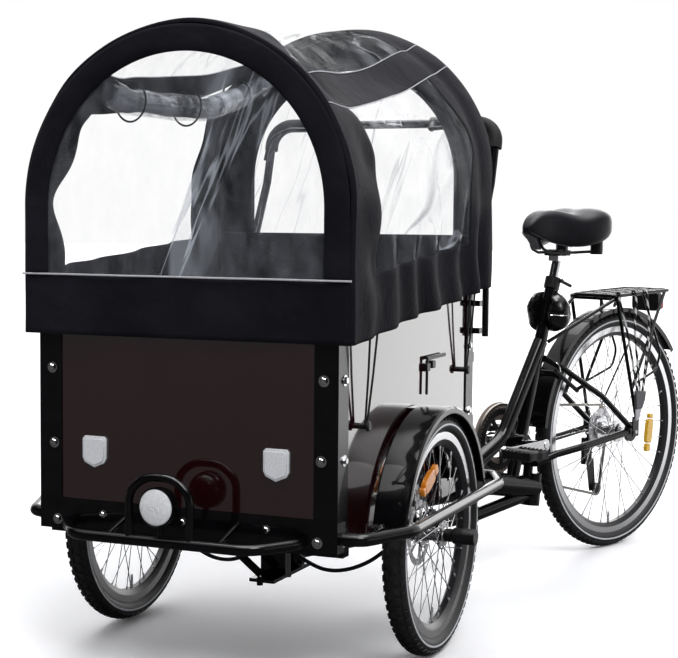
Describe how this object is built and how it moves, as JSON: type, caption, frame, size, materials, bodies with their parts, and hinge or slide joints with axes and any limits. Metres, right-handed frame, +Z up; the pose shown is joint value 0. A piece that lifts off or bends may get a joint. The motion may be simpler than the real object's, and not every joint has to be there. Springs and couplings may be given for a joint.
{
  "type": "cargo tricycle",
  "caption": "Front-loading cargo tricycle with a steered plywood box, arched rain canopy, rear frame, saddle and rack.",
  "frame": {"origin": "on the floor under the middle of the whole tricycle's box, with the steering turned as at rest", "axes": "-Y forward along the box, +Z up, +X to the rider's left"},
  "size_m": [1.0682, 2.1107, 1.3799],
  "materials": {
    "black_steel": "gloss",
    "steel": "satin",
    "chrome": "polished",
    "black_plastic": "matte",
    "saddle_cover": "satin",
    "canopy_cloth": "matte",
    "clear_film": "gloss",
    "plywood": "gloss film",
    "hose": "satin",
    "tyre": "matte",
    "lamp": "gloss",
    "red_lens": "gloss"
  },
  "bodies": {
    "frame": {"main_frame": "black_steel", "rear_triangle": "black_steel", "rear_axle": "steel", "seat_post": "chrome", "seat_clamp": "black_plastic", "saddle": "saddle_cover", "saddle_springs": "black_plastic", "tube_pouch": "canopy_cloth", "rear_rack": "black_steel", "rack_straps": "canopy_cloth", "tail_light": "red_lens", "rear_fender": "black_steel", "rear_brake": "black_plastic", "derailleur": "black_steel", "chain": "steel"},
    "carriage": {"side_panels": "plywood", "end_panels": "plywood", "floor_panel": "plywood", "box_frame": "black_steel", "under_frame": "black_steel", "front_spindles": "steel", "brake_calipers": "black_plastic", "brake_hoses": "hose", "side_guards": "black_steel", "bumper": "black_steel", "headlight": "lamp", "front_fenders": "black_steel", "canopy_cover": "canopy_cloth", "canopy_ends": "canopy_cloth", "canopy_windows": "clear_film", "rolled_window": "canopy_cloth", "canopy_hoops": "black_steel", "canopy_straps": "canopy_cloth", "handlebar": "black_steel", "grips": "black_plastic", "brake_levers": "black_plastic"},
    "front_wheel_left": {"front_tyre_left": "tyre", "front_rim_left": "chrome"},
    "front_wheel_right": {"front_tyre_right": "tyre", "front_rim_right": "chrome"},
    "rear_wheel": {"rear_tyre": "tyre", "rear_rim": "chrome", "sprockets": "steel"},
    "cranks": {"crank_set": "chrome"},
    "left_pedal_body": {"left_pedal": "black_plastic"},
    "right_pedal_body": {"right_pedal": "black_plastic"}
  },
  "joints": [
    {"name": "steering", "type": "hinge", "parent": "frame", "child": "carriage", "pos_m": [-0.0711, -0.40939, 0.205], "axis": [0, 0, 1], "range_deg": [-62, 18]},
    {"name": "front_left_wheel_spin", "type": "hinge", "parent": "carriage", "child": "front_wheel_left", "pos_m": [0.2969, -0.50939, 0.257], "axis": [1, 0, 0], "continuous": true},
    {"name": "front_right_wheel_spin", "type": "hinge", "parent": "carriage", "child": "front_wheel_right", "pos_m": [-0.4391, -0.50939, 0.257], "axis": [1, 0, 0], "continuous": true},
    {"name": "rear_wheel_spin", "type": "hinge", "parent": "frame", "child": "rear_wheel", "pos_m": [0.39528, 0.74496, 0.333], "axis": [0.9272, -0.3746, 0], "continuous": true},
    {"name": "crank_spin", "type": "hinge", "parent": "frame", "child": "cranks", "pos_m": [0.23308, 0.34349, 0.34], "axis": [0.9272, -0.3746, 0], "continuous": true},
    {"name": "left_pedal_spin", "type": "hinge", "parent": "cranks", "child": "left_pedal_body", "pos_m": [0.31739, 0.13039, 0.34], "axis": [0.9272, -0.3746, 0], "continuous": true},
    {"name": "right_pedal_spin", "type": "hinge", "parent": "cranks", "child": "right_pedal_body", "pos_m": [0.14877, 0.55659, 0.34], "axis": [0.9272, -0.3746, 0], "continuous": true}
  ]
}
